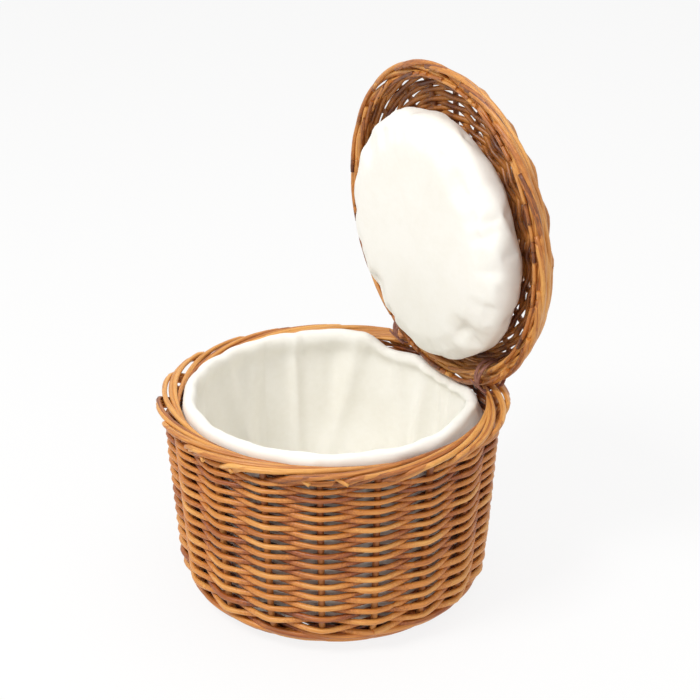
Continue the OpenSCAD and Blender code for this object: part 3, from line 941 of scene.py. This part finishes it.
@dataclass
class LidCushion:
    """The boxed round cushion in the lid: blown up as cloth, then given its seams and puckers."""
    cotton: bpy.types.Material
    swell: float = 6 * MM
    puckers: int = 18

    def blank(self) -> bpy.types.Mesh:
        """Returns the smaller form that the cushion swells from, in the closed lid."""
        r, back, face = CUSHION_R / MM - 2.0, 11.8, -25.2
        profile = [(0, back), (r * 0.5, back), (r - 7, back - 0.6), (r - 1.2, back - 4.4), (r, back - 9.5),
                   (r, (back + face) / 2), (r - 0.6, face + 9), (r - 2.2, face + 3.8), (r - 7.5, face + 0.4),
                   (r * 0.72, face - 0.8), (r * 0.4, face - 1.6), (0, face - 2.0)]
        made = spun([(a * MM, b * MM) for a, b in profile], 96)
        mesh = bpy.data.meshes.new("cushion_blank")
        made.to_mesh(mesh)
        made.free()
        return mesh

    def inflate(self, mesh: bpy.types.Mesh) -> bpy.types.Mesh:
        """Swells the blank by cloth pressure, no point further than the cap.

        Args:
            mesh: The closed blank.

        Returns:
            The swollen mesh.
        """
        pad = bpy.data.objects.new("cushion_blank", mesh)
        bpy.context.scene.collection.objects.link(pad)
        remesh = pad.modifiers.new("even", "REMESH")
        remesh.mode = "VOXEL"
        remesh.voxel_size = 5 * MM
        graph = bpy.context.evaluated_depsgraph_get()
        even = bpy.data.meshes.new_from_object(pad.evaluated_get(graph))
        pad.modifiers.clear()
        pad.data = even
        start = vertex_points(even)
        cloth = pad.modifiers.new("cloth", "CLOTH")
        cloth.settings.use_pressure = True
        cloth.settings.uniform_pressure_force = 4.0
        cloth.settings.quality = 5
        cloth.settings.effector_weights.gravity = 0.0
        cloth.point_cache.frame_start = 1
        cloth.point_cache.frame_end = 20
        scene = bpy.context.scene
        for frame in range(1, 21):
            scene.frame_set(frame)
        graph = bpy.context.evaluated_depsgraph_get()
        swollen = bpy.data.meshes.new_from_object(pad.evaluated_get(graph))
        moved = vertex_points(swollen) - start
        reach = np.linalg.norm(moved, axis=1, keepdims=True)
        moved *= np.minimum(1.0, self.swell / np.maximum(reach, 1e-9))
        swollen.vertices.foreach_set("co", (start + moved).astype(np.float32).ravel())
        bpy.data.objects.remove(pad)
        scene.frame_set(1)
        return swollen

    def sew(self, mesh: bpy.types.Mesh) -> None:
        """Draws in the seam round the face and its puckers, and keeps the pad in its space."""
        points = vertex_points(mesh)
        azimuth = np.arctan2(points[:, 1], points[:, 0])
        r, z = np.hypot(points[:, 0], points[:, 1]), points[:, 2]
        rough = np.array([noise.noise(Vector((math.cos(a) * 7, math.sin(a) * 7, h * 30)))
                          for a, h in zip(azimuth, z)])
        puffs = ((1 + np.cos(self.puckers * azimuth + 2.2 * rough)) / 2) ** 3
        edge = np.exp(-((z + 0.0225) / 0.0045) ** 2) * (r > 0.09)
        r = r - (1.1 * edge + 2.4 * edge * puffs + 0.8 * puffs * (r > 0.105)) * MM
        gather = np.exp(-((r - 0.100) / 0.014) ** 2) * (z < -0.015)
        z = z + 1.2 * MM * gather * puffs + 0.5 * MM * rough * (z < -0.015)
        r = r + 0.7 * MM * rough * (r > 0.09)
        r = np.minimum(r, CUSHION_R + 0.0020)
        # The rim is slack where it meets the liner's hem when the lid is down
        r = r - 3.3 * MM * np.exp(-((azimuth - math.radians(41)) / 0.44) ** 2) * (r > 0.09) * (z < -0.001)
        z = np.clip(z, -0.0312, 0.0132)
        moved = np.stack([r * np.cos(azimuth), r * np.sin(azimuth), z], 1)
        mesh.vertices.foreach_set("co", moved.astype(np.float32).ravel())

    def build(self) -> None:
        """Builds the cushion."""
        mesh = self.inflate(self.blank())
        self.sew(mesh)
        mesh = subdivided(mesh, 1)
        store_cloth(mesh, vertex_points(mesh))
        mesh.shade_smooth()
        place = lid_place() @ Matrix.Translation((0, CUSHION_SHIFT, LID_Z))
        piece = finish_piece("lid_pad", mesh, self.cotton, Body.LID, place)
        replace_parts(piece, "lid_cushion")


def dress_sticks(nodes: dict[str, bpy.types.Object], finish: bpy.types.Material) -> None:
    """Gives the stakes, base rods and lid rods that stay their willow."""
    for name, piece in nodes.items():
        if name.startswith(("side_stake", "base_rod", "lid_rod")):
            piece.data.materials.clear()
            piece.data.materials.append(finish)


def light_and_floor() -> None:
    """Adds the floor, the soft lamps and the white surroundings."""
    mesh = bpy.data.meshes.new("floor")
    made = bmesh.new()
    bmesh.ops.create_grid(made, x_segments=1, y_segments=1, size=6.0)
    made.to_mesh(mesh)
    made.free()
    floor = bpy.data.objects.new("floor", mesh)
    floor.data.materials.append(PaleFloor().material())
    bpy.context.scene.collection.objects.link(floor)
    world = bpy.data.worlds.new("studio")
    bpy.context.scene.world = world
    world.use_nodes = True
    tree = world.node_tree
    tree.nodes.clear()
    seen = seen_rays(tree)
    strength = math_node(tree, "ADD", 0.53, math_node(tree, "MULTIPLY", seen, 0.47))
    back = add_node(tree, "ShaderNodeBackground", links={"Color": (1, 1, 1, 1), "Strength": strength})
    add_node(tree, "ShaderNodeOutputWorld", links={"Surface": back.outputs[0]})
    for name, place, power, size in (("key", (0.2, -1.7, 2.5), 48.0, 0.9), ("fill", (2.4, -0.2, 1.3), 7.0, 1.6),
                                     ("top", (0.2, 0.4, 2.6), 12.0, 1.6)):
        lamp = bpy.data.lights.new(name, "AREA")
        lamp.energy, lamp.size = power, size
        holder = bpy.data.objects.new(name, lamp)
        holder.location = place
        aim = Vector((0, 0, 0.15)) - Vector(place)
        holder.rotation_euler = aim.to_track_quat("-Z", "Y").to_euler()
        bpy.context.scene.collection.objects.link(holder)
    bpy.context.scene.view_settings.view_transform = "Standard"


def set_camera() -> None:
    """Puts the camera at the photograph's viewing angle."""
    data = bpy.data.cameras.new("camera")
    data.sensor_width = 36.0
    data.lens = 77.9
    camera = bpy.data.objects.new("camera", data)
    azimuth, elevation = math.radians(58.1), math.radians(24.04)
    back = Vector((math.sin(azimuth) * math.cos(elevation), -math.cos(azimuth) * math.cos(elevation),
                   math.sin(elevation)))
    camera.location = (1.04767, -0.63459, 0.77484)
    camera.rotation_euler = (-back).to_track_quat("-Z", "Y").to_euler()
    data.clip_start, data.clip_end = 0.05, 40.0
    bpy.context.scene.collection.objects.link(camera)
    bpy.context.scene.camera = camera


def main() -> None:
    """Builds the whole scene in order."""
    logging.basicConfig(level=logging.INFO, format="%(name)s %(message)s")
    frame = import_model()
    set_camera()
    light_and_floor()
    weaver_willow = VarnishedWillow("willow_weavers").material()
    border_willow = VarnishedWillow("willow_border", dark="#5c2a0c", middle="#b56a27", light="#dd9c4c", streak_mm=34.0).material()
    lid_willow = VarnishedWillow("willow_lid", dark="#66320f", middle="#b37030", light="#d8954a").material()
    # The sticks get a darker, redder copy of the willow: painted shade for the sticks, which lie behind the weave.
    stick_willow_painted_shade = VarnishedWillow("willow_sticks", dark="#5c2d11", middle="#8f5022", light="#b87a3c",
                                   on_rods=False).material()
    dress_sticks(frame["nodes"], stick_willow_painted_shade)
    BasketBody(weaver_willow, border_willow).build()
    WovenLid(lid_willow, border_willow).build()
    HingeThongs(RawhideThong().material()).build()
    PaddedLiner(PlainCotton("cotton_liner", light="#fbf9f2", shade="#f3f0e6").material()).build()
    LidCushion(PlainCotton("cotton_cushion").material()).build()


if __name__ == "__main__":
    main()
